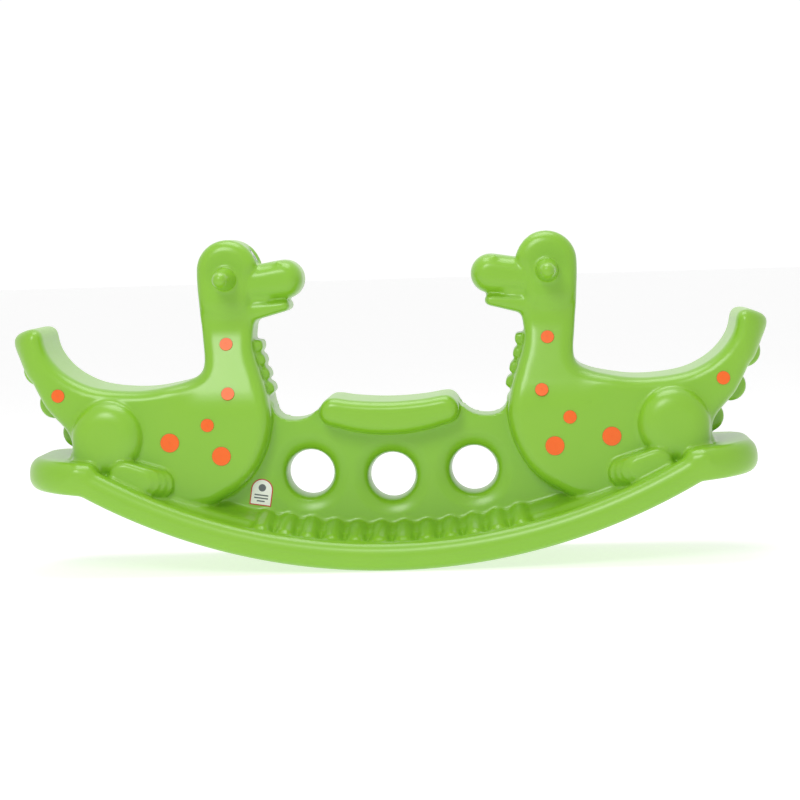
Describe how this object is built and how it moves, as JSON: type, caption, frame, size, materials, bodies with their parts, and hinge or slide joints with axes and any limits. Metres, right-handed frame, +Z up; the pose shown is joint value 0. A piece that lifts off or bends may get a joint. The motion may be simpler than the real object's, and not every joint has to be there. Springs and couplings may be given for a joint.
{
  "type": "rocking seesaw",
  "caption": "Hollow moulded rocking seesaw: two facing dinosaurs with side handle pegs and saddles on one curved rocker base, with portholes, a middle seat and ribbed foot ledges.",
  "frame": {"origin": "on the floor under the middle of the seesaw, at the bottom centre of its box", "axes": "+X along the seesaw towards the right-hand dinosaur, +Y across it, away from the labelled side, +Z up"},
  "size_m": [1.5032, 0.37, 0.6559],
  "materials": {
    "green_body": "satin moulded polyethylene",
    "orange_spot": "satin moulded plastic",
    "eye_decal": "printed vinyl film",
    "label": "printed vinyl film",
    "vent": "moulded plastic"
  },
  "bodies": {
    "root": {"body_shell": "green_body", "left_front_neck_spot": "orange_spot", "left_front_chest_spot": "orange_spot", "left_front_flank_spot": "orange_spot", "left_front_belly_spot": "orange_spot", "left_front_hip_spot": "orange_spot", "left_front_tail_spot": "orange_spot", "left_back_neck_spot": "orange_spot", "left_back_chest_spot": "orange_spot", "left_back_flank_spot": "orange_spot", "left_back_belly_spot": "orange_spot", "left_back_hip_spot": "orange_spot", "left_back_tail_spot": "orange_spot", "right_front_neck_spot": "orange_spot", "right_front_chest_spot": "orange_spot", "right_front_flank_spot": "orange_spot", "right_front_belly_spot": "orange_spot", "right_front_hip_spot": "orange_spot", "right_front_tail_spot": "orange_spot", "right_back_neck_spot": "orange_spot", "right_back_chest_spot": "orange_spot", "right_back_flank_spot": "orange_spot", "right_back_belly_spot": "orange_spot", "right_back_hip_spot": "orange_spot", "right_back_tail_spot": "orange_spot", "left_eye_decal": "eye_decal", "right_eye_decal": "eye_decal", "approval_label": "label", "vent_plug": "vent"}
  },
  "joints": []
}
